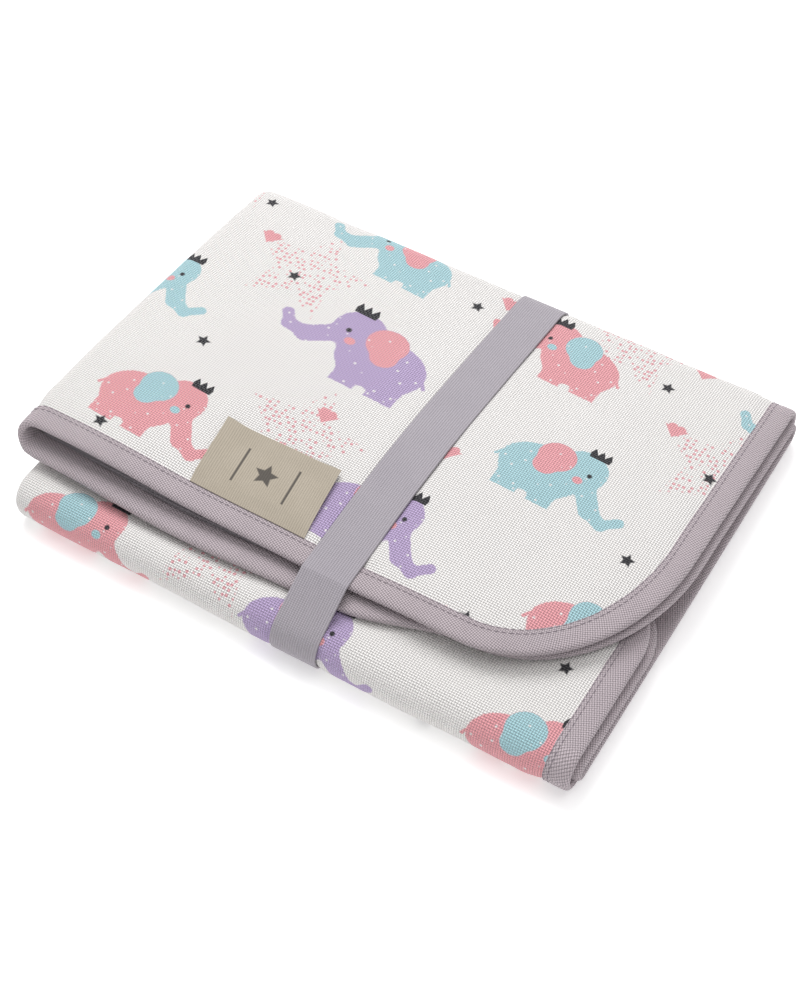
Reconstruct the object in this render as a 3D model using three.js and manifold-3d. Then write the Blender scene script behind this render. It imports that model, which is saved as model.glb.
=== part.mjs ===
// Padded fabric changing pad, folded flat into a packet and held by an elastic strap.
// The mat is first folded in half (fold at the left end, so every panel is two quilted
// layers), then letter-folded: the short front flap over the base, the top flap over both.
// Millimetres, +Z up, +X towards the bound open end, +Y towards the back fold.

import * as THREE from 'three';
import { mergeVertices } from 'three/addons/utils/BufferGeometryUtils.js';
import Module from 'manifold-3d';

// ---- driving dimensions -------------------------------------------------------------

const packetLength = 336;         // folded mat, left fold to bound right end
const packetDepth = 262;          // front fold to back fold
const coverThickness = 0.8;       // printed woven cotton cover
const paddingThickness = 4.2;     // quilted wadding
const liningThickness = 0.6;      // wipe-clean lining
const plyGap = 0.2;               // between cover, wadding and lining
const layerGap = 0.4;             // between the two halves of the folded mat
const frontFoldGap = 2;           // air between base and front flap
const backFoldGap = 3.2;          // air between base and top flap at the back fold
const topFlapGap = 0.5;           // front flap to top flap
const frontFlapReach = 115;       // front fold to the free edge inside the packet
const frontFlapCorner = [40, 40]; // run along the free edge, and along the end
const topFlapSetback = 32;        // front fold to the top flap's front edge
const topFlapCorner = [78, 100];
const levelMargin = 8;            // the top flap stays level this far past the front flap
const innerLayerReach = 3;        // the inner layer's bound edges stand out this far
const topFlapInnerReach = 8;      // and this far along the top flap's free edge
const bindingWidth = 13.5;        // flat width of the edge tape
const bindingEdge = 1.0;          // thickness of the tape over the cut edge
const pieceGap = 0.3;             // clearance between neighbouring pieces
const strapWidth = 26;
const strapThickness = 1.4;
const strapCentreX = 16;
const strapSplitGap = 0.9;        // between strap lengths that fold apart
const strapClearance = 0.05;      // from the strap's underside to the ground
const strapWrapPast = 2;          // degrees short of the front fold's widest point
const labelWidth = 67;
const labelDepth = 42;
const labelThickness = 0.8;
const labelCentreX = -38;
const labelSkew = -0.11;          // the label lies slightly askew: sideways run per depth
const arcFacets = 6;              // facets in a quarter turn
const cornerFacets = 10;

// ---- derived sizes -----------------------------------------------------------------

const layerThickness = coverThickness + paddingThickness + liningThickness + 2 * plyGap;
const panelThickness = 2 * layerThickness + layerGap;
const frontFoldRadius = panelThickness + frontFoldGap / 2;
const backFoldRadius = panelThickness + backFoldGap / 2;
const topFlapTop = 2 * frontFoldRadius + topFlapGap + panelThickness;
const leftX = -packetLength / 2;
const rightX = packetLength / 2;
const frontY = -packetDepth / 2;
const backY = packetDepth / 2;
const frontCentreY = frontY + frontFoldRadius;
const backCentreY = backY - backFoldRadius;
const frontFlapEdgeY = frontY + frontFlapReach;
const topFlapEdgeY = frontY + topFlapSetback;
const slopeStartY = frontFlapEdgeY + levelMargin;
const farY = packetDepth;
const tallZ = 2 * topFlapTop;
const overshoot = 1;              // cutting solids run this far past what they cut

// Depths below the printed outer face: the outer layer, then the inner layer mirrored.
const plies = {
  outer_cover: [0, coverThickness],
  outer_padding: [coverThickness + plyGap, coverThickness + plyGap + paddingThickness],
  outer_lining: [layerThickness - liningThickness, layerThickness],
};
for (const ply of ['lining', 'padding', 'cover']) {
  const [near, far] = plies[`outer_${ply}`];
  plies[`inner_${ply}`] = [panelThickness - far, panelThickness - near];
}

const colours = {
  cover: { color: 0xf1eeeb, roughness: 0.9, metalness: 0 },
  padding: { color: 0xf7f6f2, roughness: 1.0, metalness: 0 },
  lining: { color: 0xe4e2e4, roughness: 0.75, metalness: 0 },
  binding: { color: 0xada2ab, roughness: 0.85, metalness: 0 },
  strap: { color: 0x98949b, roughness: 0.8, metalness: 0 },
  label: { color: 0xcfc7b6, roughness: 0.85, metalness: 0 },
};

const wasm = await Module();
wasm.setup();

// ---- solids ------------------------------------------------------------------------

function toManifold(geometry) {
  geometry.deleteAttribute('normal');
  geometry.deleteAttribute('uv');
  const merged = mergeVertices(geometry, 1e-4);
  return new wasm.Manifold(new wasm.Mesh({
    numProp: 3,
    vertProperties: Float32Array.from(merged.attributes.position.array),
    triVerts: Uint32Array.from(merged.index.array),
  }));
}

function toGeometry(solid) {
  const mesh = solid.getMesh();
  const geometry = new THREE.BufferGeometry();
  geometry.setAttribute('position', new THREE.BufferAttribute(mesh.vertProperties, 3));
  geometry.setIndex(new THREE.BufferAttribute(mesh.triVerts, 1));
  geometry.computeVertexNormals();
  return geometry;
}

// A side outline, as [y, z] points, drawn out along X.
function sideSolid(outline, x0, x1) {
  const shape = new THREE.Shape(outline.map(([y, z]) => new THREE.Vector2(y, z)));
  const geometry = new THREE.ExtrudeGeometry(shape, { depth: x1 - x0, bevelEnabled: false });
  geometry.applyMatrix4(new THREE.Matrix4().makeBasis(
    new THREE.Vector3(0, 1, 0), new THREE.Vector3(0, 0, 1), new THREE.Vector3(1, 0, 0)));
  geometry.translate(x0, 0, 0);
  return toManifold(geometry);
}

// The region of a flap seen from above, inset from its bound edges, rounded at the corner.
function flapPlan({ edgeY, towards, corner, innerReach }, endX, inset, isInner) {
  const [runX, runY] = corner.map((run) => run - inset);
  const x1 = endX - inset;
  const y0 = edgeY + towards * (inset - (isInner ? innerReach : 0));
  const shape = new THREE.Shape();
  shape.moveTo(leftX - overshoot, y0);
  shape.lineTo(x1 - runX, y0);
  shape.absellipse(x1 - runX, y0 + towards * runY, runX, runY,
    -towards * Math.PI / 2, 0, towards < 0);
  shape.lineTo(x1, towards * farY);
  shape.lineTo(leftX - overshoot, towards * farY);
  const geometry = new THREE.ExtrudeGeometry(
    shape, { depth: tallZ, bevelEnabled: false, curveSegments: cornerFacets });
  return toManifold(geometry);
}

// ---- the folded path ---------------------------------------------------------------

function radians(degrees) {
  return degrees * Math.PI / 180;
}

// Points round a fold at depth t below the outer face, from one angle to the other;
// 0 is straight down and 180 straight up. side is -1 at the front fold, 1 at the back.
function foldArc(side, t, from, to, gap) {
  const centreY = side < 0 ? frontCentreY : backCentreY;
  const outer = side < 0 ? frontFoldRadius : backFoldRadius;
  const r = outer - t;
  const trim = Math.asin(gap / 2 / r);
  const open = (angle) => (angle % 90 === 45 ? 1 : 0);
  const way = Math.sign(to - from);
  const a0 = radians(from) + way * trim * open(from);
  const a1 = radians(to) - way * trim * open(to);
  const steps = Math.max(2, Math.round(arcFacets * Math.abs(to - from) / 90));
  const points = [];
  for (let i = 0; i <= steps; i += 1) {
    const a = a0 + (a1 - a0) * i / steps;
    points.push([centreY + side * r * Math.sin(a), outer - r * Math.cos(a)]);
  }
  return points;
}

// Each panel's run at depth t: base, the two folds, and the two flaps.
const runs = {
  base: (t, gap) => [...foldArc(-1, t, 45, 0, gap), ...foldArc(1, t, 0, 45, gap)],
  front_fold: (t, gap) => foldArc(-1, t, 45, 135, gap),
  front_flap: (t, gap) => [
    ...foldArc(-1, t, 135, 180, gap),
    [frontFlapEdgeY + innerLayerReach, 2 * frontFoldRadius - t],
  ],
  back_fold: (t, gap) => foldArc(1, t, 45, 135, gap),
  top_flap: (t, gap) => [
    ...foldArc(1, t, 135, 180, gap),
    [slopeStartY, topFlapTop - t],
    [topFlapEdgeY - topFlapInnerReach, topFlapTop - t],
  ],
};

function band(panel, t0, t1, gap = pieceGap) {
  return [...runs[panel](t0, gap), ...runs[panel](t1, gap).reverse()];
}

// Free edges of the two flaps: where the bound edge is, which way the flap runs from it,
// and the size of its rounded corner.
const freeEdges = {
  top_flap: {
    edgeY: topFlapEdgeY, towards: 1, corner: topFlapCorner, innerReach: topFlapInnerReach,
  },
  front_flap: {
    edgeY: frontFlapEdgeY, towards: -1, corner: frontFlapCorner, innerReach: innerLayerReach,
  },
};

// The space inside a panel's bound edges, seen from above.
function insideEdges(panel, inset, isInner) {
  const endX = isInner ? rightX : rightX - innerLayerReach;
  if (freeEdges[panel]) {
    return flapPlan(freeEdges[panel], endX, inset, isInner);
  }
  const box = new THREE.BoxGeometry(packetLength, 2 * farY, 2 * tallZ);
  box.translate(endX - inset - packetLength / 2, 0, 0);
  return toManifold(box);
}

// One ply of a panel, kept inside its bound edges by inset.
function plySolid(panel, t0, t1, inset, isInner) {
  const x0 = leftX + coverThickness + pieceGap;
  const solid = sideSolid(band(panel, t0, t1), x0, rightX + overshoot);
  return solid.intersect(insideEdges(panel, inset, isInner));
}

// The edge tape: a folded strip over each layer's bound edge.
function bindingSolid(panel, faceDepths, backDepths, isInner) {
  const all = [...faceDepths, ...backDepths];
  const t0 = Math.min(...all);
  const t1 = Math.max(...all);
  const ring = (a, b, width) => plySolid(panel, a, b, 0, isInner)
    .subtract(insideEdges(panel, width, isInner));
  const face = ring(...faceDepths, bindingWidth);
  const back = ring(...backDepths, bindingWidth);
  return face.add(back).add(ring(t0, t1, bindingEdge));
}

// ---- strap -------------------------------------------------------------------------

function strapSolid(outline, extra = 0) {
  const half = strapWidth / 2 + extra;
  return sideSolid(outline, strapCentreX - half, strapCentreX + half);
}

const strapNear = -pieceGap;
const strapFar = -pieceGap - strapThickness;

// Points round a fold outside the cover, down to where the strap lies flat on the ground.
function strapLanding(side, t, level) {
  const outer = side < 0 ? frontFoldRadius : backFoldRadius;
  const landing = Math.acos((outer - level) / (outer - t)) * 180 / Math.PI;
  return foldArc(side, t, landing, 45, strapSplitGap);
}

// The run under the base, pressed up into the padding; lift adds clearance above it.
function strapUnderOutline(lift) {
  const top = strapClearance + strapThickness + lift;
  return [
    ...strapLanding(-1, strapFar, strapClearance).reverse(),
    ...strapLanding(1, strapFar, strapClearance),
    ...strapLanding(1, strapNear + lift, top).reverse(),
    ...strapLanding(-1, strapNear + lift, top),
  ];
}

// The front run: straight from the flap's edge to the front fold, then round to its front.
const creaseY = topFlapEdgeY - pieceGap;

function strapFrontLine(t) {
  const r = frontFoldRadius - t;
  const y = creaseY - frontCentreY;
  const z = topFlapTop - t - frontFoldRadius;
  const tangent = 90 + Math.atan2(z, y) * 180 / Math.PI
    + Math.acos(r / Math.hypot(y, z)) * 180 / Math.PI;
  return [
    [creaseY, topFlapTop - t],
    ...foldArc(-1, t, 360 - tangent, 90 + strapWrapPast, strapSplitGap),
  ];
}

// ---- assembly ----------------------------------------------------------------------

const group = new THREE.Group();

function addPiece(name, solid, finish) {
  const material = new THREE.MeshStandardMaterial(colours[finish]);
  const mesh = new THREE.Mesh(toGeometry(solid), material);
  mesh.name = name;
  group.add(mesh);
}

function addPanel(panel) {
  for (const [ply, [t0, t1]] of Object.entries(plies)) {
    const [layer, finish] = ply.split('_');
    const inset = (finish === 'padding' ? bindingEdge : bindingWidth) + pieceGap;
    let solid = plySolid(panel, t0, t1, inset, layer === 'inner');
    if (panel === 'base' && layer === 'outer') {
      solid = solid.subtract(strapSolid(strapUnderOutline(pieceGap), pieceGap));
    }
    addPiece(`${panel}_${ply}`, solid, finish);
  }
  addPiece(`${panel}_end_wrap`,
    sideSolid(band(panel, 0, panelThickness), leftX, leftX + coverThickness), 'cover');
  addPiece(`${panel}_outer_binding`,
    bindingSolid(panel, plies.outer_cover, plies.outer_lining, false), 'binding');
  addPiece(`${panel}_inner_binding`,
    bindingSolid(panel, plies.inner_cover, plies.inner_lining, true), 'binding');
}

for (const panel of Object.keys(runs)) {
  addPanel(panel);
}

// The top flap's run, cut off level with the outer layer's bound edge.
function strapTopRun(t) {
  const points = runs.top_flap(t, strapSplitGap);
  points.pop();
  points.push([topFlapEdgeY, topFlapTop - t]);
  return points;
}

addPiece('strap_top',
  strapSolid([...strapTopRun(strapNear), ...strapTopRun(strapFar).reverse()]), 'strap');
addPiece('strap_back', strapSolid(band('back_fold', strapNear, strapFar, strapSplitGap)), 'strap');
addPiece('strap_under', strapSolid(strapUnderOutline(0)), 'strap');
addPiece('strap_front',
  strapSolid([...strapFrontLine(strapNear), ...strapFrontLine(strapFar).reverse()]), 'strap');
addPiece('strap_tail', strapSolid([
  ...foldArc(-1, strapNear, 45, 90, strapSplitGap),
  ...foldArc(-1, strapFar, 45, 90, strapSplitGap).reverse(),
]), 'strap');

const labelSlab = new THREE.BoxGeometry(labelWidth, labelDepth, labelThickness);
labelSlab.translate(0, labelDepth / 2, labelThickness / 2);
labelSlab.applyMatrix4(new THREE.Matrix4().makeShear(0, 0, labelSkew, 0, 0, 0));
labelSlab.translate(labelCentreX, topFlapEdgeY + bindingWidth + pieceGap, topFlapTop + pieceGap);
addPiece('label', toManifold(labelSlab), 'label');

export default group;
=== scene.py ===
import math
import bmesh
import bpy
import numpy as np
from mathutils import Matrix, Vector, noise


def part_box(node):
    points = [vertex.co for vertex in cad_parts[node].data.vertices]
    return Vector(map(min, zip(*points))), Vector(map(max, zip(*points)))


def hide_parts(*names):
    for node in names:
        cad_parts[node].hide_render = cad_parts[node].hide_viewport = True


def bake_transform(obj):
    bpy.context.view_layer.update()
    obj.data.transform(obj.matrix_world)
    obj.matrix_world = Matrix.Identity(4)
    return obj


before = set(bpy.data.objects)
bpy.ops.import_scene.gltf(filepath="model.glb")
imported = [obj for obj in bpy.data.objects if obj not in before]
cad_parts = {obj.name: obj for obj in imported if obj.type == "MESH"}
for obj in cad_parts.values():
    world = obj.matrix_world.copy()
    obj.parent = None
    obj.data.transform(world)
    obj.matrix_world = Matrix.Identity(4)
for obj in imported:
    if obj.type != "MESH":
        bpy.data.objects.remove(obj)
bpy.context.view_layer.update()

mm = 0.001
scene = bpy.context.scene


def cornersOf(name):  # a node's lowest and highest corners, in millimetres
    low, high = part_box(name)
    return np.array(low) / mm, np.array(high) / mm


# The folded mat's own sizes, and what the frame says.

mat = {
    "layer": 6.0,              # one quilted layer, through
    "bothLayers": 12.4,
    "slope": 5.35,             # how far the back half of the top flap falls, degrees
    "topCorner": (78, 100),    # run of the rounded corner along the free edge, and along the end
    "frontCorner": (40, 40),
    "reach": 3.0,              # the inner layer stands out this far past the outer one
    "bulge": 4.0,              # and its front edge further out here
    "bulgeX": -60,
    "hiddenCorner": 12.5,      # but its rounded corner hides under the outer one
    "droop": 4.0,              # the inner layer's front edge hangs this far at the left
    "droopX": -85,
    "endLoop": 1.8,            # room inside the top flap's half fold at the left end
    "mouth": 4.0,              # more of it towards the free edge
    "mouthRun": 78,            # how far along the edge it takes to close
    "mouthDepth": 95,
    "frontInset": 12,          # the lower layers' left end lies this far in at the front
    "askew": 3,                # the front fold's left end lies this far back
    "cornerLift": 2.6,         # the left end of the free edge stands up
    "crown": 2.2,              # soft rise in the middle of the top flap
    "edgeHalf": 1.4,           # half the thickness of the pad inside its edge tape
    "tapeWidth": 13.5,
    "blendInset": 1.0,         # an opened fold bends from here inwards
    "blendRun": 9,
    "blendRise": 8,
    "puff": 15,                # how far from the tape the pad reaches its full thickness
}

leftX = cornersOf("base_end_wrap")[0][0]
rightX = cornersOf("base_inner_binding")[1][0]
outerEndX = rightX - mat["reach"]
backLow, backHigh = cornersOf("back_fold_end_wrap")
frontLow, frontHigh = cornersOf("front_fold_end_wrap")
backRadius = (backLow[2] + backHigh[2]) / 2
frontRadius = (frontLow[2] + frontHigh[2]) / 2
backY, frontY = backHigh[1], frontLow[1]
flapTop = cornersOf("top_flap_end_wrap")[1][2]
flapEdgeY = cornersOf("top_flap_outer_binding")[0][1]
flapReach = flapEdgeY - cornersOf("top_flap_inner_binding")[0][1]
frontFlapEdgeY = cornersOf("front_flap_outer_binding")[1][1]
strapLow, strapHigh = cornersOf("strap_top")
strapX = (strapLow[0] + strapHigh[0]) / 2
strapHalf = (strapHigh[0] - strapLow[0]) / 2

# Run of the outer face from the top flap's free edge, as straight lengths and turns.
fall = math.radians(mat["slope"])
slopeLength = (flapTop - backRadius * (1 + math.cos(fall))) / math.sin(fall)
levelLength = backY - backRadius * (1 - math.sin(fall)) - flapEdgeY - slopeLength * math.cos(fall)
sBackTop = levelLength + slopeLength
sBackMid = sBackTop + backRadius * (math.pi / 2 - fall)
sBackLow = sBackTop + backRadius * (math.pi - fall)
baseLength = (backY - backRadius) - (frontY + frontRadius)
sBaseMid = sBackLow + baseLength / 2
sFrontLow = sBackLow + baseLength
sFrontMid = sFrontLow + frontRadius * math.pi / 2
sFrontTop = sFrontLow + frontRadius * math.pi
sEnd = sFrontTop + frontFlapEdgeY - (frontY + frontRadius)

# Heading of the run at each place, summed up into points.
runStep = 0.25
past = 24  # the run goes on this far past both free edges
runS = np.arange(-past, sEnd + past, runStep)
bendSoft = 60  # the top flap bends gently over this length
headingAt = ((-past, 0), (levelLength - bendSoft / 2, 0), (levelLength + bendSoft / 2, -fall),
             (sBackTop, -fall), (sBackLow, -math.pi), (sFrontLow, -math.pi),
             (sFrontTop, -2 * math.pi), (sEnd + past, -2 * math.pi))
heading = np.interp(runS, [s for s, _ in headingAt], [h for _, h in headingAt])
runY = flapEdgeY - past + np.concatenate([[0], np.cumsum(np.cos(heading[:-1])) * runStep])
runZ = flapTop + np.concatenate([[0], np.cumsum(np.sin(heading[:-1])) * runStep])


def smooth(x):
    x = np.clip(x, 0, 1)
    return x * x * (3 - 2 * x)


def bell(x, width):
    return np.exp(-(x / width) ** 2)


def topShare(s):  # 1 on the top flap, 0 once round the back fold
    return 1 - smooth((s - sBackTop + 30) / 40)


def loopAt(s):  # room inside the half fold
    mouth = mat["mouth"] * bell(np.maximum(s, 0), mat["mouthDepth"])
    return topShare(s) * (mat["endLoop"] + mouth)


def turnOf(s):  # where the left end's turn starts and ends, in p, and its radius
    radius = (mat["bothLayers"] - mat["layer"] + loopAt(s)) / 2
    inset = mat["frontInset"] * smooth((s - sBackLow) / baseLength)
    start = leftX + inset + radius + mat["layer"] / 2
    return start, start - math.pi * radius, radius


def layerPath(p, s):
    # p runs along a layer: x on the outer layer, then on round the left end and back along
    # the inner layer. Gives x, the depth of the layer's middle, and its sideways turn.
    half = mat["layer"] / 2
    start, end, radius = turnOf(s)
    angle = np.clip((start - p) / radius, 0, math.pi)
    onOuter, onInner = p >= start, p < end
    x = np.where(onOuter, p, np.where(onInner, start + end - p, start - radius * np.sin(angle)))
    lift = loopAt(s) * bell(np.maximum(x - start, 0), mat["mouthRun"])
    middle = half - loopAt(s) + radius * (1 - np.cos(angle))
    middle = np.where(onInner, mat["bothLayers"] - half, middle)
    middle = np.where(onOuter, half - lift, middle)
    return x, middle, angle


# height, then the middle and width along x, and along s: the strap presses the flap down, it
# swells left of the label, and its rounded corner hangs
softRises = ((-1.6, strapX, 26, 0, 40), (1.3, leftX + 60, 38, 0, 45), (-1.2, rightX - 20, 50, 20, 60))


def softRise(x, s):  # the stack's own soft shape, in millimetres upwards
    across = 1 - ((x - 10) / 190) ** 2
    along = np.sin(np.clip((s + 20) / (sBackTop + 20), 0, 1) * math.pi)
    rise = mat["crown"] * across * along
    for height, middleX, widthX, middleS, widthS in softRises:
        rise = rise + height * bell(x - middleX, widthX) * bell(s - middleS, widthS)
    rise = rise + mat["cornerLift"] * smooth((-60 - x) / 100) * bell(s, 70)
    return rise * topShare(s)


def place(p, s, n):  # p along the layer, s along the mat, n out of the layer's middle
    p, s, n = np.broadcast_arrays(np.asarray(p, float), np.asarray(s, float),
                                  np.asarray(n, float))
    x, middle, angle = layerPath(p, s)
    x = x - n * np.sin(angle)
    depth = middle - n * np.cos(angle)
    return atDepth(x, s, depth)


def frontShift(x, s):  # the front fold isn't quite parallel to the flap's edge
    share = smooth((s - sFrontLow + 90) / 90) * (1 - smooth((s - sFrontTop - 10) / 90))
    return mat["askew"] * np.clip((60 - x) / 220, 0, 1.1) ** 1.4 * share


def droopAt(x, s, y, depth):  # the inner layer's edge hangs over the front fold, pressing it in
    across = mat["droop"] * bell(x - mat["droopX"], 75)
    inner = bell(np.minimum(s - 2, 0) + np.maximum(s - 2, 0), 16) * smooth((depth - 5) / 4)
    fold = bell(y - flapEdgeY + 3, 15) * (s > sFrontMid) * smooth((9 - depth) / 9)
    return across * (inner + 0.8 * fold)


def atDepth(x, s, depth):
    h = np.interp(s, runS, heading)
    y = np.interp(s, runS, runY) + depth * np.sin(h) + frontShift(x, s)
    z = np.interp(s, runS, runZ) - depth * np.cos(h) + softRise(x, s)
    z = np.maximum(z - droopAt(x, s, y, depth), 0.03)  # flat where it rests on the floor
    return np.stack([x * np.ones_like(y), y, z], -1)


# Edges of the layers.

def cornerRun(e, corner, inset):  # how far a rounded corner draws the end in, e from the free edge
    runX, runY = corner[0] - inset, corner[1] - inset
    t = np.clip((runY - (e - inset)) / runY, 0, 1)
    return runX * (1 - np.sqrt(np.maximum(1 - t * t, 0)))


def edgeDistance(x, e, endX, corner):  # inwards from the end or the free edge
    d = np.minimum(endX - x, e)
    if corner is None:
        return endX - x
    cx, cy = endX - corner[0], corner[1]
    dx, dy = np.maximum(x - cx, 0) / corner[0], np.maximum(cy - e, 0) / corner[1]
    q = np.sqrt(dx * dx + dy * dy) + 1e-9
    slope = np.sqrt((dx / corner[0]) ** 2 + (dy / corner[1]) ** 2) / q + 1e-9
    return np.where((x > cx) & (e < cy), (1 - q) / slope, d)


# Four stretches, each from a free edge or the base's middle to the middle of a fold.

stretches = {
    "top_flap": {"free": 0.0, "split": sBackMid, "corner": mat["topCorner"],
                 "bodies": ("back_fold", "top_flap")},
    "base_back": {"free": sBaseMid, "split": sBackMid, "corner": None,
                  "bodies": ("back_fold", "base")},
    "base_front": {"free": sBaseMid, "split": sFrontMid, "corner": None,
                   "bodies": ("front_fold", "base")},
    "front_flap": {"free": sEnd, "split": sFrontMid, "corner": mat["frontCorner"],
                   "bodies": ("front_fold", "front_flap")},
}


def runFrom(stretch, e, reach):
    # s for e millimetres in from a free edge that stands out by reach
    way = 1 if stretch["split"] > stretch["free"] else -1
    length = abs(stretch["split"] - stretch["free"])
    return stretch["free"] + way * (e - reach * (1 - e / length))


def reachAt(stretch, x):  # how far the inner layer's free edge stands out past the outer's
    if not stretch["corner"]:
        return 0 * x
    if stretch is stretches["front_flap"]:
        return mat["reach"] + 0 * x
    bulge = mat["bulge"] * bell(x - mat["bulgeX"], 75)
    return flapReach + bulge - mat["hiddenCorner"] * smooth((x - 30) / 60)


def bendWith(piece, stretch):  # bakes the piece's transform, after working out the fold between the two bodies that the stretch joins
    a, b = stretch["bodies"]
    atBack = a == "back_fold"
    foldY = backY if atBack else frontY
    radius = backRadius if atBack else frontRadius
    inwards = -1 if atBack else 1
    upwards = 1 if b in ("top_flap", "front_flap") else -1
    y0 = foldY + inwards * (mat["bothLayers"] + mat["blendInset"])
    end = Vector((0, y0 + inwards * mat["blendRun"], radius + upwards * mat["blendRise"])) * mm
    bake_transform(piece)


def noiseAt(points, size, seed):
    shift = Vector((seed * 17.3, seed * 5.1, seed * 9.7))
    return np.array([noise.noise(Vector(q) / size + shift) for q in points])


def meshPiece(name, points, faces, material, cloth):
    data = bpy.data.meshes.new(name)
    data.from_pydata([tuple(q) for q in points * mm], [], faces)
    layer = data.attributes.new("cloth", "FLOAT_VECTOR", "POINT")
    layer.data.foreach_set("vector", cloth.astype(np.float32).ravel())
    data.materials.append(material)
    data.validate()
    data.shade_smooth()
    data.set_sharp_from_angle(angle=math.radians(50))
    piece = bpy.data.objects.new(name, data)
    scene.collection.objects.link(piece)
    return piece


def gridFaces(rows, cols, first=0, flip=False, wrap=False):
    faces = []
    for i in range(rows - 1):
        for j in range(cols if wrap else cols - 1):
            k = (j + 1) % cols
            a, b = first + i * cols + j, first + i * cols + k
            c, d = first + (i + 1) * cols + k, first + (i + 1) * cols + j
            faces.append((a, d, c, b) if flip else (a, b, c, d))
    return faces


def turnedOut(piece):  # faces point outwards
    bm = bmesh.new()
    bm.from_mesh(piece.data)
    bmesh.ops.recalc_face_normals(bm, faces=bm.faces)
    bm.to_mesh(piece.data)
    bm.free()
    return piece


# Materials.

def linear(hexColour):
    parts = [int(hexColour[i:i + 2], 16) / 255 for i in (0, 2, 4)]
    return tuple(c / 12.92 if c <= 0.04045 else ((c + 0.055) / 1.055) ** 2.4 for c in parts)


class Wire:
    def __init__(self, sheet, socket):
        self.sheet, self.socket = sheet, socket

    def __add__(self, other):
        return self.sheet.maths("ADD", self, other)

    def __radd__(self, other):
        return self.sheet.maths("ADD", other, self)

    def __sub__(self, other):
        return self.sheet.maths("SUBTRACT", self, other)

    def __rsub__(self, other):
        return self.sheet.maths("SUBTRACT", other, self)

    def __mul__(self, other):
        return self.sheet.maths("MULTIPLY", self, other)

    def __rmul__(self, other):
        return self.sheet.maths("MULTIPLY", other, self)

    def __truediv__(self, other):
        return self.sheet.maths("DIVIDE", self, other)

    def __rtruediv__(self, other):
        return self.sheet.maths("DIVIDE", other, self)

    def __neg__(self):
        return self.sheet.maths("MULTIPLY", self, -1)


class Finish:  # one material's node sheet
    def __init__(self, name, roughness, sheen=0.0):
        self.material = bpy.data.materials.new(name)
        self.material.use_nodes = True
        self.tree = self.material.node_tree
        self.shader = self.tree.nodes["Principled BSDF"]
        self.shader.inputs["Roughness"].default_value = roughness
        self.shader.inputs["Sheen Weight"].default_value = sheen
        self.shader.inputs["Specular IOR Level"].default_value = 0.25

    def node(self, kind, settings=None, values=None, out=0):
        made = self.tree.nodes.new(kind)
        for key, value in (settings or {}).items():
            setattr(made, key, value)
        for key, value in (values or {}).items():
            if isinstance(value, Wire):
                self.tree.links.new(value.socket, made.inputs[key])
            else:
                made.inputs[key].default_value = value
        return Wire(self, made.outputs[out])

    def maths(self, operation, *values):
        return self.node("ShaderNodeMath", {"operation": operation}, dict(enumerate(values)))

    def vector(self, operation, *values, out=0):
        return self.node("ShaderNodeVectorMath", {"operation": operation},
                         dict(enumerate(values)), out)

    def length(self, value):
        return self.vector("LENGTH", value, out=1)

    def dot(self, a, b):
        return self.vector("DOT_PRODUCT", a, b, out=1)

    def parts(self, value):
        made = self.tree.nodes.new("ShaderNodeSeparateXYZ")
        self.tree.links.new(value.socket, made.inputs[0])
        return [Wire(self, made.outputs[i]) for i in range(3)]

    def joined(self, x, y, z=0.0):
        return self.node("ShaderNodeCombineXYZ", None, {0: x, 1: y, 2: z})

    def mixed(self, share, a, b):  # colours
        return self.node("ShaderNodeMix", {"data_type": "RGBA"}, {0: share, 6: a, 7: b}, 2)

    def moved(self, share, a, b):  # vectors
        return self.node("ShaderNodeMix", {"data_type": "VECTOR"}, {0: share, 4: a, 5: b}, 1)

    def cover(self, distance, soft=0.35):  # 1 inside a shape, 0 outside
        return self.node("ShaderNodeMapRange", None,
                         {0: distance, 1: -soft, 2: soft, 3: 1.0, 4: 0.0})

    def feed(self, socket, wire):
        self.tree.links.new(wire.socket, self.shader.inputs[socket])

    def bump(self, height, distance, strength=1.0):
        self.feed("Normal", self.node("ShaderNodeBump", None,
                                      {"Strength": strength, "Distance": distance,
                                       "Height": height}))


def colour(hexColour):
    return (*linear(hexColour), 1.0)


print("print and cloth")

printed = {
    "ground": "fbf8f6", "pink": "f4aab1", "blue": "b2dae2", "purple": "c2add6",
    "ink": "2b2a30", "softPink": "f3b3ba", "lining": "aaa3a9",
    "repeat": (256, 243),     # one repeat of the print, along and up
    "lean": 0.055,            # the print is slightly out of square on the top flap
    "leanLost": 0.06,         # and less so by the front fold
    "weave": 1.3,            # width of one crossing of the basket weave
    # centre, size, faces right, body, ear
    "elephants": (
        ((-64, 214), 0.90, 0, "blue", "pink"),
        ((-39, 136), 1.06, 0, "purple", "pink"),
        ((50, 198), 0.90, 0, "pink", "blue"),
        ((-117, 41), 0.90, 1, "pink", "blue"),
        ((14, 44), 0.90, 1, "purple", "pink"),
        ((79, 119), 0.90, 1, "blue", "pink")),
    "hearts": ((119, 180), (114, 229), (-36, 82), (29, 98), (1, 214)),
    "stars": ((102, 206), (148, 160), (137, 88), (86, 17), (126, 12), (-13, 201)),
    "dottedStars": ((-104, 167), (-41, 63), (74, 226)),
}


def weaveHeight(f, u, v, pitch):  # crossings that pass over and under in turn
    a = f.maths("SINE", u * (math.pi / pitch))
    b = f.maths("SINE", v * (math.pi / pitch))
    across = f.maths("ABSOLUTE", a)
    up = f.maths("ABSOLUTE", b)
    over = f.maths("GREATER_THAN", a * b, 0.0)
    return across * (over * 0.65 + 0.35) + up * (1 - over * 0.65)


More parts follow.
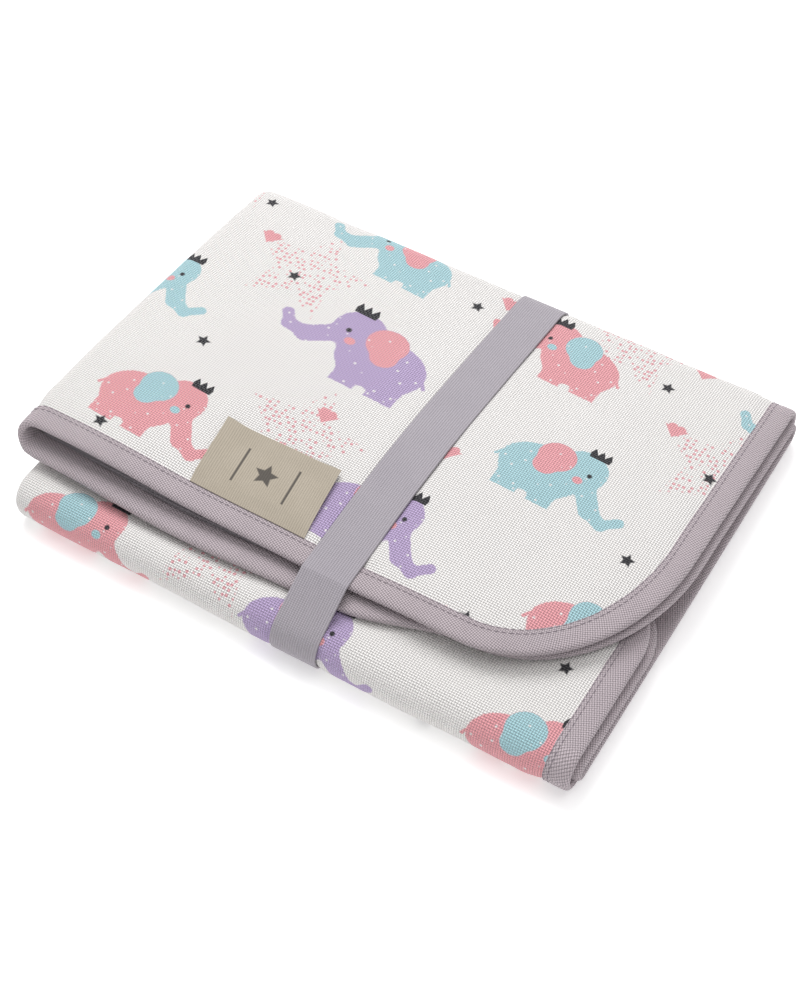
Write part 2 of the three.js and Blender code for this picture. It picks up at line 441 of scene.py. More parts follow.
def starShape(f, q, tip, notch):
    x, y, _ = f.parts(q)
    far = f.length(q)
    turn = f.maths("ABSOLUTE", f.maths("PINGPONG", f.maths("ARCTAN2", x, y), math.pi / 5))
    # the side between a tip on the axis and a notch a tenth of a turn away
    nx, ny = notch * math.cos(math.pi / 5), notch * math.sin(math.pi / 5)
    dx, dy = nx - tip, ny
    size = math.hypot(dx, dy)
    along = far * f.maths("COSINE", turn)
    side = far * f.maths("SINE", turn)
    return (along - tip) * (dy / size) - side * (dx / size)


def capsule(f, q, a, b, radius):
    ab = f.vector("SUBTRACT", b, a)
    aq = f.vector("SUBTRACT", q, a)
    t = f.node("ShaderNodeClamp", None, {0: f.dot(aq, ab) / f.dot(ab, ab)})
    on = f.node("ShaderNodeVectorMath", {"operation": "SCALE"}, {0: ab, 3: t})
    return f.length(f.vector("SUBTRACT", aq, on)) - radius


def ellipse(f, q, centre, radii):
    d = f.vector("SUBTRACT", q, (*centre, 0))
    return (f.length(f.vector("DIVIDE", d, (*radii, 1))) - 1) * min(radii)


def block(f, q, centre, half):
    d = f.vector("SUBTRACT", f.vector("ABSOLUTE", f.vector("SUBTRACT", q, (*centre, 0))),
                 (*half, 0))
    x, y, _ = f.parts(d)
    return f.maths("MAXIMUM", x, y)


def nearestOf(f, q, centres):  # the place of q about the nearest of these, over the repeat
    best = None
    half = (printed["repeat"][0] / 2, printed["repeat"][1] / 2, 1e6)
    for centre in centres:
        d = f.vector("WRAP", f.vector("SUBTRACT", q, (*centre, 0)), half,
                     tuple(-h for h in half))
        far = f.length(f.vector("MULTIPLY", d, (0.8, 1, 0)))
        if best is None:
            best, bestFar, picks = d, far, [None]
            continue
        nearer = f.maths("LESS_THAN", far, bestFar)
        best = f.moved(nearer, best, d)
        bestFar = f.maths("MINIMUM", far, bestFar)
        picks.append(nearer)
    return best, picks


def elephant(f, q, facing):
    # trunk raised when facing left, lowered and curled when facing right
    raised = ((-20, 3, 0), (-37, -9, 0), (-48, -8, 0), (-53, -1, 0))
    lowered = ((-20, 0, 0), (-31, -17, 0), (-41, -22, 0), (-49, -15, 0))
    joints = [f.moved(facing, a, b) for a, b in zip(raised, lowered)]
    trunk = capsule(f, q, joints[0], joints[1], 6.0)
    trunk = f.maths("SMOOTH_MIN", trunk, capsule(f, q, joints[1], joints[2], 4.2), 3.0)
    trunk = f.maths("SMOOTH_MIN", trunk, capsule(f, q, joints[2], joints[3], 3.2), 1.5)
    body = ellipse(f, q, (6, -6), (25, 18.5))
    head = ellipse(f, q, (-15, 8), (14.5, 14))
    body = f.maths("SMOOTH_MIN", body, head, 6.0)
    legs = f.maths("SMOOTH_MIN", block(f, q, (-4, -20), (7, 9)),
                   block(f, q, (18, -20), (8, 9)), 1.0)
    body = f.maths("SMOOTH_MIN", body, legs, 5.0)
    body = f.maths("SMOOTH_MIN", body, trunk, 5.0)
    tail = capsule(f, q, (28, -2, 0), (33, -9, 0), 1.0)
    body = f.maths("MINIMUM", body, tail)
    return body


def printedCloth():
    f = Finish("printed_cloth", 0.86, sheen=0.25)
    cloth = f.node("ShaderNodeAttribute", {"attribute_name": "cloth"}, None, 1)
    u, v, side = f.parts(cloth)
    # threads pull the edges of the print about by a fraction of a crossing
    raggedness = f.node("ShaderNodeTexNoise", None, {"Vector": cloth, "Scale": 0.9, "Detail": 1.0})
    ragged = (raggedness - 0.5) * 1.3
    lost = f.node("ShaderNodeMapRange", {"interpolation_type": "SMOOTHSTEP"},
                  {0: v, 1: sBackLow, 2: sFrontLow, 3: 0.0, 4: printed["leanLost"]})
    q = f.joined(u, v + u * (printed["lean"] - lost))

    spots = printed["elephants"]
    near, picks = nearestOf(f, q, [c for c, *_ in spots])

    def chosen(values, mix):
        wire = values[0]
        for pick, value in zip(picks[1:], values[1:]):
            wire = mix(pick, wire, value)
        return wire

    def numberMix(pick, a, b):
        return f.node("ShaderNodeMix", {"data_type": "FLOAT"}, {0: pick, 2: a, 3: b})

    size = chosen([row[1] for row in spots], numberMix)
    facing = chosen([float(row[2]) for row in spots], numberMix)
    bodyColour = chosen([colour(printed[row[3]]) for row in spots], f.mixed)
    earColour = chosen([colour(printed[row[4]]) for row in spots], f.mixed)
    x, y, _ = f.parts(near)
    x = x * (1 - facing * 2)
    local = f.node("ShaderNodeVectorMath", {"operation": "SCALE"},
                   {0: f.joined(x, y), 3: 1 / size})
    lx, ly, _ = f.parts(local)
    ear = f.maths("SMOOTH_MIN", ellipse(f, local, (2, 8), (11.5, 11)),
                  ellipse(f, local, (5, -1), (7.5, 7)), 3.0)
    ear = ear + ragged * 0.5
    body = f.cover(f.maths("MINIMUM", elephant(f, local, facing) + ragged, ear))
    ear = f.cover(ear)
    cheek = f.cover(ellipse(f, local, (-15.5, -1), (3, 2.6)))
    eye = f.cover(ellipse(f, local, (-20, 5.5), (1.5, 1.6)))
    # crown: a band with four points, a little wider at the top
    cx = (lx + 19) / (1 + (ly - 20) * 0.025)
    points = f.maths("PINGPONG", cx + 6.4, 2.13)
    crown = f.maths("MAXIMUM", f.maths("ABSOLUTE", cx) - 6.3, ly - 22.6 - points * 2.0)
    crown = f.cover(f.maths("MAXIMUM", crown, 19.4 - ly), 0.25)
    # pale speckles on the body and ear
    freckle = f.node("ShaderNodeTexVoronoi", None,
                     {"Vector": local, "Scale": 0.2, "Randomness": 0.75})
    freckle = f.cover(freckle - 0.16, 0.05)

    hearts, _ = nearestOf(f, q, printed["hearts"])
    hx, hy, _ = f.parts(hearts)
    hx = f.maths("ABSOLUTE", hx)
    lobes = f.length(f.joined(hx - 2.3, hy - 1.7)) - 2.8
    point = f.maths("MAXIMUM", hx * 0.74 - (hy + 5.6) * 0.67, hy - 1.9)
    heart = f.cover(f.maths("MINIMUM", lobes, point) + ragged * 0.3)

    stars, _ = nearestOf(f, q, printed["stars"])
    star = f.cover(starShape(f, stars, 4.1, 2.1) + ragged * 0.2)

    field, _ = nearestOf(f, q, printed["dottedStars"])
    big = f.cover(starShape(f, field, 37, 18), 0.6)
    grain = f.node("ShaderNodeTexVoronoi", None,
                   {"Vector": field, "Scale": 1 / 3.1, "Randomness": 0.45})
    dots = f.cover(grain - 0.31, 0.05) * big

    worn = f.node("ShaderNodeTexNoise", None, {"Vector": cloth, "Scale": 0.02, "Detail": 3.0})
    ground = f.mixed(worn, colour("f8f5f3"), colour(printed["ground"]))
    ink = f.mixed(dots, ground, colour(printed["softPink"]))
    ink = f.mixed(heart, ink, colour(printed["pink"]))
    figure = f.mixed(ear, bodyColour, earColour)
    figure = f.mixed(cheek, figure, earColour)
    figure = f.mixed(freckle * 0.85, figure, colour("fbf8f8"))
    figure = f.mixed(eye, figure, colour(printed["ink"]))
    ink = f.mixed(body, ink, figure)
    ink = f.mixed(f.maths("MAXIMUM", crown, star), ink, colour(printed["ink"]))

    # the cloth: bright crossings with shade between them
    height = weaveHeight(f, u, v, printed["weave"])
    shade = f.node("ShaderNodeMapRange", None, {0: height, 1: 0.3, 2: 1.2, 3: 0.78, 4: 1.1})
    shaded = f.node("ShaderNodeVectorMath", {"operation": "SCALE"}, {0: ink, 3: shade})
    printedSide = f.maths("GREATER_THAN", side, 0.0)
    f.feed("Base Color", f.mixed(printedSide, colour(printed["lining"]), shaded))
    f.bump(height, 0.0006, 1.0)
    return f.material


def tapeCloth(name, tone, edge, pitch, roughness, ribs):
    # u across the tape, v along it
    f = Finish(name, roughness, sheen=0.2)
    cloth = f.node("ShaderNodeAttribute", {"attribute_name": "cloth"}, None, 1)
    u, v, _ = f.parts(cloth)
    if ribs:  # cords that run along the tape, crossed by fine weft
        height = f.maths("ABSOLUTE", f.maths("SINE", u * (math.pi / pitch))) * 0.8
        height = height + f.maths("ABSOLUTE", f.maths("SINE", v * (math.pi / (pitch * 0.8)))) * 0.35
    else:
        height = weaveHeight(f, u + v * 0.5, v - u * 0.5, pitch)
    worn = f.node("ShaderNodeTexNoise", None, {"Vector": cloth, "Scale": 0.05, "Detail": 4.0})
    base = f.mixed(worn, colour(edge), colour(tone))
    darkest, palest = (0.84, 1.06) if ribs else (0.55, 1.2)
    shade = f.node("ShaderNodeMapRange", None,
                   {0: height, 1: 0.25, 2: 1.2, 3: darkest, 4: palest})
    f.feed("Base Color", f.node("ShaderNodeVectorMath", {"operation": "SCALE"},
                                {0: base, 3: shade}))
    f.bump(height, 0.0004, 1.0)
    return f.material


coverCloth = printedCloth()
edgeTape = tapeCloth("edge_tape", "c1b5ba", "b4a8ae", 1.35, 0.85, ribs=False)
elasticTape = tapeCloth("elastic", "b2acb3", "a9a3ab", 1.3, 0.8, ribs=True)


def threadFinish(name, tone):
    f = Finish(name, 0.6)
    at = f.node("ShaderNodeTexCoord", None, None, 3)
    twist = f.node("ShaderNodeTexNoise", None, {"Vector": at, "Scale": 900.0, "Detail": 2.0})
    f.feed("Base Color", f.mixed(twist, colour(tone), colour("756c74")))
    f.bump(twist, 0.0001)
    return f.material


# the thread's tone is darker than the tape's: partly the thread's own colour, partly painted shade of
# the stitch holes along the seams
tapeThreadWithPaintedShade = threadFinish("tape_thread_painted_shade", "8b8189")


def labelCloth():
    f = Finish("label_tape", 0.85, sheen=0.2)
    cloth = f.node("ShaderNodeAttribute", {"attribute_name": "cloth"}, None, 1)
    u, v, side = f.parts(cloth)
    ribs = f.maths("ABSOLUTE", f.maths("SINE", u * (math.pi / 1.3)))
    cross = f.maths("ABSOLUTE", f.maths("SINE", v * (math.pi / 0.7)))
    height = ribs * 0.75 + cross * 0.25
    worn = f.node("ShaderNodeTexNoise", None, {"Vector": cloth, "Scale": 0.06, "Detail": 3.0})
    base = f.mixed(worn, colour("b7ad9e"), colour("aaa090"))
    shade = f.node("ShaderNodeMapRange", None, {0: height, 1: 0.1, 2: 0.9, 3: 0.84, 4: 1.04})
    # a plain woven motif: a small star between two rules
    spot = f.joined(u, v - 21)
    motif = f.cover(starShape(f, spot, 7.0, 3.4), 0.3)
    rules = f.maths("ABSOLUTE", f.maths("ABSOLUTE", u) - 15) - 0.6
    rules = f.cover(f.maths("MAXIMUM", rules, f.maths("ABSOLUTE", v - 21) - 11), 0.25)
    woven = f.maths("MAXIMUM", motif, rules) * f.maths("GREATER_THAN", side, 0.0)
    base = f.mixed(woven * 0.9, base, colour("4a4643"))
    f.feed("Base Color", f.node("ShaderNodeVectorMath", {"operation": "SCALE"},
                                {0: base, 3: shade}))
    f.bump(height, 0.00025)
    return f.material


labelTape = labelCloth()

# Padded stretches.

pad = {
    "column": 3.0,            # size of the surface's squares
    "across": 112,            # points along each layer
    "round": 14,              # and round the left end's turn
    "inset": 1.2,             # the pad stops this far inside the tape's edge
    "swell": 0.45,            # slow unevenness of the wadding
    "pucker": 0.35,           # ripples drawn by the seam along the tape
    "puckerSize": 9.0,
    "strapDent": 1.1,         # how deep the strap presses in
}


def padHalf(p, s, stretch, onPrinted):  # half thickness of a layer, one face
    turnStart, turnEnd, _ = turnOf(s)
    inner = p < turnEnd
    x = np.where(p >= turnStart, p, np.where(inner, turnStart + turnEnd - p, turnStart))
    endX = np.where(p >= turnStart, outerEndX, rightX)
    way = 1 if stretch["split"] > stretch["free"] else -1
    e = (s - stretch["free"]) * way + reachAt(stretch, x) * inner
    d = edgeDistance(x, e, endX, stretch["corner"])
    full, edge = mat["layer"] / 2, mat["edgeHalf"]
    share = np.clip((d - mat["tapeWidth"] + 2) / mat["puff"], 0, 1)
    half = edge + (full - edge) * (1 - (1 - share) ** 2.2)
    if onPrinted:
        press = smooth((strapHalf + 2.5 - np.abs(x - strapX)) / 3.5)
        strapped = (s < sFrontMid + 8) & (p >= turnStart)
        half = half - pad["strapDent"] * press * strapped
    return half, d


def makePad(name, stretch):
    length = abs(stretch["split"] - stretch["free"])
    step = pad["column"]
    if stretch["corner"]:
        runY = stretch["corner"][1] - pad["inset"]
        turns = np.linspace(0, math.pi / 2, 40)
        corner = pad["inset"] + runY * (1 - np.cos(turns))
        rest = np.linspace(corner[-1], length, max(2, int((length - corner[-1]) / step)))
        e = np.concatenate([corner, rest[1:]])
    else:
        e = np.linspace(0, length, int(length / step))
    columns = []
    for depth in e:
        s0 = runFrom(stretch, depth, 0.0)
        turnStart, turnEnd, _ = turnOf(s0)
        drawn = cornerRun(depth, stretch["corner"], pad["inset"]) if stretch["corner"] else 0
        outer = outerEndX - pad["inset"] - drawn
        inner = turnStart + turnEnd - (rightX - pad["inset"] - drawn)
        p = np.concatenate([
            np.linspace(outer, turnStart, pad["across"])[:-1],
            np.linspace(turnStart, turnEnd, pad["round"])[:-1],
            np.linspace(turnEnd, inner, pad["across"])])
        columns.append(p)
    p = np.array(columns)
    rows, cols = p.shape
    share = smooth((np.linspace(0, 1, cols) - 0.47) / 0.06)
    atStart = pad["across"] - 1
    pastEnd = atStart + pad["round"]
    bothEnds = p[:, [atStart]] + p[:, [pastEnd]]
    x = np.where(share > 0.5, bothEnds - p, p)
    s = np.array([runFrom(stretch, depth, share * reachAt(stretch, row))
                  for depth, row in zip(e, x)])
    flat = np.stack([p.ravel(), s.ravel(), np.zeros(p.size)], -1)
    slow = noiseAt(flat, 42, 1).reshape(p.shape) * pad["swell"] * 1.6
    slow += noiseAt(flat, 17, 2).reshape(p.shape) * pad["swell"] * 0.5
    ripple = noiseAt(flat, pad["puckerSize"], 3).reshape(p.shape) * pad["pucker"] * 1.8
    # the print runs at its full length round the outside of the left end's turn
    turnStart, turnEnd, radius = turnOf(s)
    longer = mat["layer"] / 2 / radius
    printP = p - np.clip(turnStart - p, 0, turnStart - turnEnd) * longer
    faces, points, cloth = [], [], []
    for printedSide in (True, False):
        half, d = padHalf(p, s, stretch, printedSide)
        bump = slow * smooth((d - mat["tapeWidth"]) / 14)
        bump = bump + ripple * bell(d - mat["tapeWidth"] - 4, 9)
        n = (half + bump * (1 if printedSide else 0.3)) * (1 if printedSide else -1)
        points.append(place(p, s, n).reshape(-1, 3))
        cloth.append(np.stack([printP, s, n], -1).reshape(-1, 3))
    first = rows * cols
    faces += gridFaces(rows, cols) + gridFaces(rows, cols, first, flip=True)
    for i in (0, rows - 1):
        for j in range(cols - 1):
            a, b = i * cols + j, i * cols + j + 1
            quad = (a, b, first + b, first + a)
            faces.append(quad if i else quad[::-1])
    for j in (0, cols - 1):
        for i in range(rows - 1):
            a, b = i * cols + j, (i + 1) * cols + j
            quad = (a, b, first + b, first + a)
            faces.append(quad[::-1] if j else quad)
    piece = meshPiece(name, np.concatenate(points), faces, coverCloth,
                      cloth=np.concatenate(cloth))
    return turnedOut(piece)


def nodesOf(panels, words):
    return [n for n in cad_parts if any(n.startswith(q + "_") for q in panels)
            and any(word in n for word in words)]


standsFor = {"top_flap": ["top_flap", "back_fold"], "base_back": ["base"],
             "base_front": ["front_fold"], "front_flap": ["front_flap"]}
for name, stretch in stretches.items():
    piece = makePad(name + "_pad", stretch)
    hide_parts(*nodesOf(standsFor[name], ["cover", "padding", "lining", "wrap"]))
    bendWith(piece, stretch)
print("pads made")

# Edge tape and its seams.

tape = {
    "skin": 0.65,             # thickness of the folded tape on each face
    "step": 2.0,
    "stitchIn": 0.8,          # the seams run this far inside the tape's inner edge
    "secondIn": 3.0,
    "stitchLength": 2.9,
    "stitchGap": 0.6,
    "stitchWidth": 0.45,
    "stitchLift": 0.05,       # above the tape's face
}

upperPoints = 9  # of the section's points, those on the tape's upper side


def tapeSection():  # distance in from the edge, and height above the layer's middle
    half, skin, width = mat["edgeHalf"], tape["skin"], mat["tapeWidth"]
    top = half + skin
    upper = [(width, half - 0.3), (width, half + skin * 0.45), (width - 0.35, half + skin * 0.8),
             (width - 1.0, top), (width - 2.2, top + 0.05), (width - 3.6, top - 0.12),
             (width - 5.0, top + 0.1), (width - 7.0, top + 0.18), (2.4, top + 0.1)]
    edge = [(2.3 * (1 - math.cos(a)), (top + 0.05) * math.sin(a))
            for a in np.radians([66, 44, 22, 0, -22, -44, -66])]
    lower = [(w, -n) for w, n in reversed(upper)]
    inside = [(width - 0.6, -half + 0.35), (1.6, -half + 0.35), (1.2, 0), (1.6, half - 0.35),
              (width - 0.6, half - 0.35)]
    return upper + edge + lower + inside


def edgeLine(stretch):
    # Points round a flap's bound edge, as distance in from the end, e and the way inwards: from the
    # split along the end, round the corner and along the free edge to the left end's turn.
    runX, runY = stretch["corner"]
    length = abs(stretch["split"] - stretch["free"])
    step = tape["step"]
    turnStart, *_ = turnOf(stretch["free"])
    outer = []
    for e in np.linspace(length, runY, max(2, int((length - runY) / step))):
        outer.append((0.0, e, (1.0, 0.0)))
    for a in np.linspace(0, math.pi / 2, 44)[1:]:
        along, up = runX * (1 - math.cos(a)), runY * (1 - math.sin(a))
        nx, ny = math.cos(a) * runY, math.sin(a) * runX
        size = math.hypot(nx, ny)
        outer.append((along, up, (nx / size, ny / size)))
    for x in np.arange(outerEndX - runX - step, turnStart, -step):
        outer.append((outerEndX - x, 0.0, (0.0, 1.0)))
    return outer, runX, runY, length


def tapePoints(stretch, line, section, layer):
    # line holds (distance in from the end, e, inward way); layer 0 is outer and 1 inner
    rows = []
    for drawn, e, (ix, iy) in line:
        w = np.array([q[0] for q in section])
        n = np.array([q[1] for q in section])
        away = drawn + ix * w
        s = runFrom(stretch, e + iy * w, layer * reachAt(stretch, rightX - away))
        turnStart, turnEnd, _ = turnOf(s)
        p = outerEndX - away if layer == 0 else turnStart + turnEnd - (rightX - away)
        rows.append((p, s, n))
    return rows


def turnPoints(stretch, section):  # round the left end, between the layers
    rows = []
    w = np.array([q[0] for q in section])
    n = np.array([q[1] for q in section])
    for share in np.linspace(0, 1, 15):
        s = runFrom(stretch, w, share * reachAt(stretch, leftX))
        turnStart, turnEnd, _ = turnOf(s)
        rows.append((turnStart + (turnEnd - turnStart) * share, s, n))
    return rows


def sweptTape(name, rows, section):
    cols = len(section)
    points = np.concatenate([place(p, s, n) for p, s, n in rows])
    w = np.concatenate([[0], np.cumsum([math.dist(a, b) for a, b in zip(section, section[1:])])])
    along = [0.0]
    middle = points.reshape(len(rows), cols, 3)[:, cols // 2]
    for a, b in zip(middle, middle[1:]):
        along.append(along[-1] + float(np.linalg.norm(b - a)))
    cloth = np.array([(wj, v, 1.0) for v in along for wj in w])
    faces = gridFaces(len(rows), cols, wrap=True)
    faces.append(tuple(range(cols)))
    faces.append(tuple((len(rows) - 1) * cols + j for j in reversed(range(cols))))
    return turnedOut(meshPiece(name, points, faces, edgeTape, cloth=cloth))


def stitchTree():  # a row of stitches: small grains set along a line
    tree = bpy.data.node_groups.new("stitch_row", "GeometryNodeTree")
    face = tree.interface
    face.new_socket("Line", in_out="INPUT", socket_type="NodeSocketGeometry")
    inputs = {}
    for label in ("Pitch", "Length", "Width"):
        inputs[label] = face.new_socket(label, in_out="INPUT", socket_type="NodeSocketFloat")
    inputs["Thread"] = face.new_socket("Thread", in_out="INPUT", socket_type="NodeSocketMaterial")
    face.new_socket("Stitches", in_out="OUTPUT", socket_type="NodeSocketGeometry")

    def add(kind, **settings):
        made = tree.nodes.new(kind)
        for key, value in settings.items():
            setattr(made, key, value)
        return made

    def link(a, out, b, into):
        tree.links.new(a.outputs[out], b.inputs[into])

    given = add("NodeGroupInput")
    curve = add("GeometryNodeMeshToCurve")
    spaced = add("GeometryNodeResampleCurve", mode="LENGTH")
    onPoints = add("GeometryNodeInstanceOnPoints")
    grain = add("GeometryNodeMeshUVSphere")
    grain.inputs["Segments"].default_value = 8
    grain.inputs["Rings"].default_value = 6
    grain.inputs["Radius"].default_value = 0.5
    size = add("ShaderNodeCombineXYZ")
    stretch = add("GeometryNodeTransform")
    tangent = add("GeometryNodeInputTangent")
    align = add("FunctionNodeAlignRotationToVector", axis="X")
    real = add("GeometryNodeRealizeInstances")
    soft = add("GeometryNodeSetShadeSmooth")
    thread = add("GeometryNodeSetMaterial")
    result = add("NodeGroupOutput")
    link(given, "Line", curve, 0)
    link(curve, 0, spaced, "Curve")
    link(given, "Pitch", spaced, "Length")
    link(spaced, 0, onPoints, "Points")
    link(given, "Length", size, 0)
    link(given, "Width", size, 1)
    link(given, "Width", size, 2)
    link(grain, "Mesh", stretch, "Geometry")
    link(size, 0, stretch, "Scale")
    link(stretch, 0, onPoints, "Instance")
    link(tangent, 0, align, "Vector")
    link(align, 0, onPoints, "Rotation")
    link(onPoints, 0, real, 0)
    link(real, 0, soft, 0)
    link(soft, 0, thread, "Geometry")
    link(given, "Thread", thread, "Material")
    link(thread, 0, result, 0)
    return tree, {label: socket.identifier for label, socket in inputs.items()}


stitches, stitchInput = stitchTree()


def stitchRow(name, line, length, gap, width, thread):
    data = bpy.data.meshes.new(name)
    count = len(line)
    data.from_pydata([tuple(q) for q in np.asarray(line) * mm],
                     [(i, i + 1) for i in range(count - 1)], [])
    holder = bpy.data.objects.new(name + "_line", data)
    scene.collection.objects.link(holder)
    modifier = holder.modifiers.new("stitches", "NODES")
    modifier.node_group = stitches
    modifier[stitchInput["Pitch"]] = (length + gap) * mm
    modifier[stitchInput["Length"]] = length * mm
    modifier[stitchInput["Width"]] = width * mm
    modifier[stitchInput["Thread"]] = thread
    view = bpy.context.evaluated_depsgraph_get()
    made = bpy.data.meshes.new_from_object(holder.evaluated_get(view))
    made.name = name
    bpy.data.objects.remove(holder)
    piece = bpy.data.objects.new(name, made)
    scene.collection.objects.link(piece)
    return piece


def seamOn(rows, section, spot, lift):  # the line of a seam that runs along a swept tape
    upper = slice(upperPoints - 1, None, -1)  # the tape's upper side, from its edge inwards
    w = [q[0] for q in section][upper]
    line = []
    for row in rows:
        p, s, n = [np.interp(spot, w, values[upper]) for values in row]
        line.append(place(p, s, n + lift))
    return np.array(line)


section = tapeSection()
for name, stretch in stretches.items():
    if stretch["corner"]:
        line, *_ = edgeLine(stretch)
        outerRows = tapePoints(stretch, line, section, 0)
        innerRows = tapePoints(stretch, line, section, 1)
        runs = {"edge": outerRows + turnPoints(stretch, section)[1:-1] + innerRows[::-1]}
    else:
        length = abs(stretch["split"] - stretch["free"])
        line = [(0.0, e, (1.0, 0.0)) for e in np.linspace(length, 0, int(length / tape["step"]))]
        runs = {"outer": tapePoints(stretch, line, section, 0),
                "inner": tapePoints(stretch, line, section, 1)}
    for run, rows in runs.items():
        piece = sweptTape(f"{name}_{run}_tape", rows, section)
        words = ["binding"] if run == "edge" else [run + "_binding"]
        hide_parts(*nodesOf(standsFor[name], words))
        bendWith(piece, stretch)
        for row, into in (("a", tape["stitchIn"]), ("b", tape["secondIn"])):
            seam = seamOn(rows, section, mat["tapeWidth"] - into, tape["stitchLift"])
            thread = stitchRow(f"{name}_{run}_stitching_{row}", seam, tape["stitchLength"],
                               tape["stitchGap"], tape["stitchWidth"], tapeThreadWithPaintedShade)
            bendWith(thread, stretch)
print("edge tape made")

# Strap.

strap = {
    "thickness": 1.3,
    "proud": 0.65,            # its middle stands this far out, before the cloth's dent
    "step": 1.5,
    "creaseRun": 7.0,         # the front length starts this far in from the flap's edge
    "edgeBend": 3.4,          # how tightly it turns over that edge
}


def strapSection():  # across, and out of the strap's middle
    half, rim = strapHalf, strap["thickness"] / 2
    right = [(half - rim * (1 - math.cos(a)), rim * math.sin(a))
             for a in np.radians([-80, -50, -20, 20, 50, 80])]
    flat = np.linspace(half - 1.5, -half + 1.5, 14)
    top = [(x, rim) for x in flat]
    left = [(-x, -n) for x, n in right]
    bottom = [(x, -rim) for x in flat[::-1]]
    return right + top + left + bottom


def sweptStrap(name, frames):
    # frames hold the middle of the strap as (y, z) and its outward way as (y, z)
    section = strapSection()
    cols = len(section)
    points, cloth, along = [], [], 0.0
    last = None
    for (y, z), (ny, nz) in frames:
        if last is not None:
            along += math.hypot(y - last[0], z - last[1])
        last = (y, z)
        for x, n in section:
            points.append((strapX + x, y + n * ny, z + n * nz))
            cloth.append((x, along, 1.0 if n > 0 else -1.0))
    faces = gridFaces(len(frames), cols, wrap=True)
    faces.append(tuple(range(cols)))
    faces.append(tuple((len(frames) - 1) * cols + j for j in reversed(range(cols))))
    return turnedOut(meshPiece(name, np.array(points), faces, elasticTape, cloth=np.array(cloth)))


def strapFrame(s, depth):
    y, z = atDepth(np.array([strapX]), np.array([s]), np.array([depth]))[0][1:]
    h = float(np.interp(s, runS, heading))
    return (y, z), (-math.sin(h), math.cos(h))


strapDepth = -strap["proud"] + pad["strapDent"] * 0.5 + 0.05
strapSunk = strap["thickness"] / 2 + 0.05


def strapDepthAt(s):  # sunk into the base, so that the mat rests flat
    under = smooth((s - sBackMid) / (sBackLow - sBackMid))
    under = under * (1 - smooth((s - sFrontLow) / (sFrontMid - sFrontLow)))
    return strapDepth + (strapSunk - strapDepth) * under


def alongMat(s0, s1):
    count = max(2, int(abs(s1 - s0) / strap["step"]))
    return [strapFrame(s, strapDepthAt(s)) for s in np.linspace(s0, s1, count)]


def frontRun():
    # over the flap's edge, straight down to the front fold, then round to its widest point
    (y0, z0), _ = strapFrame(1.0, strapDepth)
    centre = np.array([frontY + frontRadius, frontRadius])
    r = frontRadius - strapDepth
    bend = strap["edgeBend"]
    bendCentre = np.array([y0 - 1.0, z0 - bend])
    d = centre - bendCentre
    far = math.hypot(*d)
    base = math.atan2(d[1], d[0])
    lean = math.asin((r - bend) / far)
    way = base - lean  # direction of the straight run
    normal = np.array([math.sin(way), -math.cos(way)])
    frames = alongMat(strap["creaseRun"], 2.0)
    a0, a1 = math.pi / 2, math.atan2(normal[1], normal[0])
    for a in np.linspace(a0, a1, 12):
        out = (math.cos(a), math.sin(a))
        frames.append(((bendCentre[0] + bend * out[0], bendCentre[1] + bend * out[1]), out))
    start = bendCentre + bend * normal
    end = centre + r * normal
    for t in np.linspace(0, 1, 14)[1:]:
        y, z = start + (end - start) * t
        frames.append(((y, z), tuple(normal)))
    for a in np.linspace(a1, math.pi, 8)[1:]:
        out = (math.cos(a), math.sin(a))
        frames.append(((centre[0] + r * out[0], centre[1] + r * out[1]), out))
    return frames


strapRuns = {
    "strap_top_run": (alongMat(sBackMid, strap["creaseRun"]), "strap_top", "back_fold", "top_flap"),
    "strap_back_run": (alongMat(sBaseMid, sBackMid), "strap_back", "back_fold", "base"),
    "strap_under_run": (alongMat(sFrontMid, sBaseMid), "strap_under", "front_fold", "base"),
    "strap_front_run": (frontRun(), "strap_front", "top_flap", "strap_front"),
}
for name, (frames, node, a, b) in strapRuns.items():
    piece = sweptStrap(name, frames)
    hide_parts(node, *(["strap_tail"] if node == "strap_under" else []))
    if b == "strap_front":
        (y0, z0), _ = strapFrame(4.0, strapDepth)
        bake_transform(piece)
    else:
        bendWith(piece, next(q for q in stretches.values() if q["bodies"] == (a, b)))
print("strap made")

# Label.

label = {
    "width": 67.0,
    "depth": 42.0,
    "thickness": 0.6,
    "lean": -0.11,            # its sides lean this much along x for each millimetre up
    "middleX": -38.0,
    "tuck": 0.6,              # goes this far under the tape
    "roll": 12,               # bends over this length when it is lifted
}


def makeLabel():
    cols, rows = 46, 30
    across = np.linspace(-label["width"] / 2, label["width"] / 2, cols)
    up = np.linspace(0, label["depth"], rows)
    x, v = np.meshgrid(across, up)
    s = mat["tapeWidth"] - label["tuck"] + v
    p = label["middleX"] + x + label["lean"] * v
    half, _ = padHalf(p, s, stretches["top_flap"], True)
    seamHold = smooth(v / 9)
    curl = 0.5 + 1.5 * smooth((np.abs(x) - 18) / 16) * smooth(v / 30) + 0.9 * smooth((v - 30) / 12)
    wave = 0.4 * np.sin(x / 9.0 + 0.6) * seamHold
    base = half + 0.35 + (curl + wave) * seamHold
    points, cloth = [], []
    for lift, side in ((label["thickness"], 1.0), (0.0, -1.0)):
        points.append(place(p, s, base + lift).reshape(-1, 3))
        cloth.append(np.stack([x, v, np.full_like(x, side)], -1).reshape(-1, 3))
    first = rows * cols
    faces = gridFaces(rows, cols) + gridFaces(rows, cols, first, flip=True)
    rim = [j for j in range(cols)] + [i * cols + cols - 1 for i in range(1, rows)]
    rim += [(rows - 1) * cols + j for j in reversed(range(cols - 1))]
    rim += [i * cols for i in reversed(range(1, rows - 1))]
    for a, b in zip(rim, rim[1:] + rim[:1]):
        faces.append((a, b, first + b, first + a))
    return turnedOut(meshPiece("woven_label", np.concatenate(points), faces, labelTape,
                               cloth=np.concatenate(cloth)))


labelPiece = makeLabel()
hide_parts("label")
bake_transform(labelPiece)
print("label made")

# Floor, light and camera.

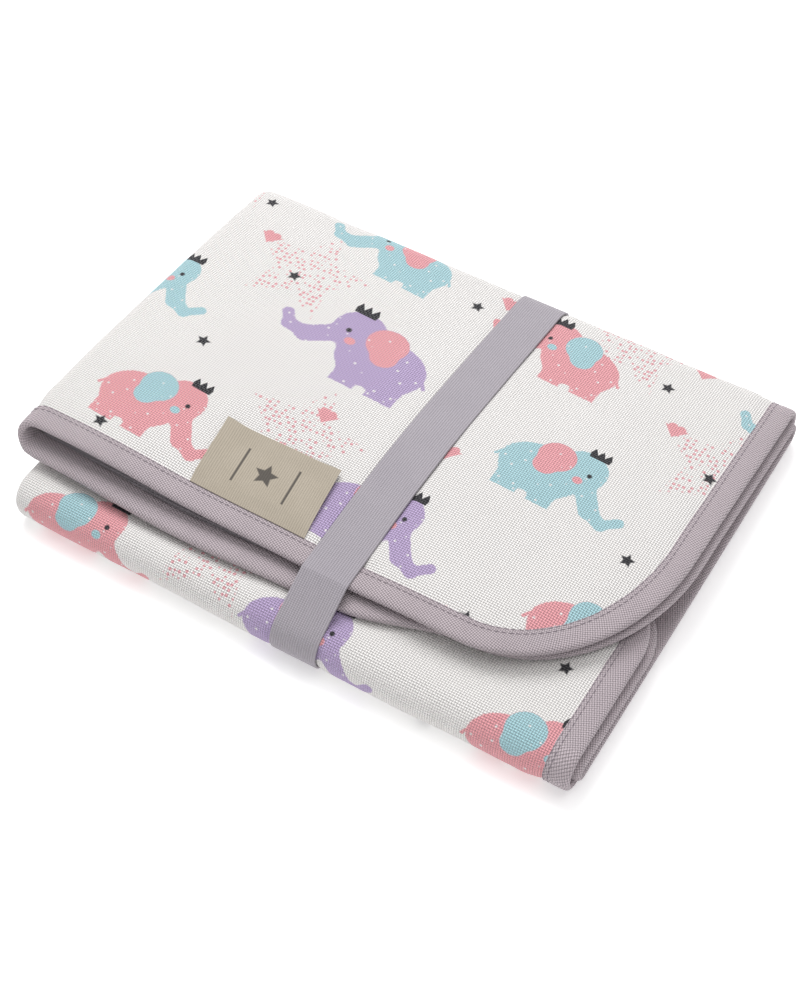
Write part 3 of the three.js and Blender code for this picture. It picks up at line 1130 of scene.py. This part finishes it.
studio = {
    "azimuth": 30.7,
    "elevation": 51.3,
    "distance": 1.0198,
    "lens": 72.0,
    "target": (0.0134, -0.0248, 0.015),
    "floorGlow": 0.3,
    "worldLight": 0.42,
    # name, azimuth, elevation, distance, size and power
    "lights": (("key", -140, 60, 1.6, 1.0, 18), ("fill", 40, 35, 1.8, 1.4, 2.5),
               ("top", 90, 80, 1.8, 1.2, 8)),
}


def addFloor():
    bpy.ops.mesh.primitive_plane_add(size=8)
    floor = bpy.context.object
    floor.name = "floor"
    f = Finish("floor_paint", 0.95)
    at = f.node("ShaderNodeTexCoord", None, None, 3)
    tone = f.node("ShaderNodeTexNoise", None, {"Vector": at, "Scale": 2.0})
    f.feed("Base Color", f.mixed(tone, colour("fcfcfc"), colour("ffffff")))
    f.shader.inputs["Emission Color"].default_value = (1, 1, 1, 1)
    f.shader.inputs["Emission Strength"].default_value = studio["floorGlow"]
    floor.data.materials.append(f.material)


def addLight(name, azimuth, elevation, far, size, power):
    lamp = bpy.data.lights.new(name, "AREA")
    lamp.shape = "DISK"
    lamp.size = size
    lamp.energy = power
    a, e = math.radians(azimuth), math.radians(elevation)
    way = Vector((math.sin(a) * math.cos(e), -math.cos(a) * math.cos(e), math.sin(e)))
    lightObject = bpy.data.objects.new(name, lamp)
    lightObject.location = way * far
    lightObject.rotation_euler = way.to_track_quat("Z", "Y").to_euler()
    scene.collection.objects.link(lightObject)


addFloor()
for light in studio["lights"]:
    addLight(*light)
world = bpy.data.worlds.new("studio")
world.use_nodes = True
world.node_tree.nodes["Background"].inputs[0].default_value = (1, 1, 1, 1)
world.node_tree.nodes["Background"].inputs[1].default_value = studio["worldLight"]
scene.world = world
scene.view_settings.view_transform = "Standard"

camera = bpy.data.cameras.new("camera")
camera.lens = studio["lens"]
camera.sensor_width = 36
cameraObject = bpy.data.objects.new("camera", camera)
a, e = math.radians(studio["azimuth"]), math.radians(studio["elevation"])
way = Vector((math.sin(a) * math.cos(e), -math.cos(a) * math.cos(e), math.sin(e)))
cameraObject.location = Vector(studio["target"]) + way * studio["distance"]
cameraObject.rotation_euler = way.to_track_quat("Z", "Y").to_euler()
scene.collection.objects.link(cameraObject)
scene.camera = cameraObject

print("scene ready")
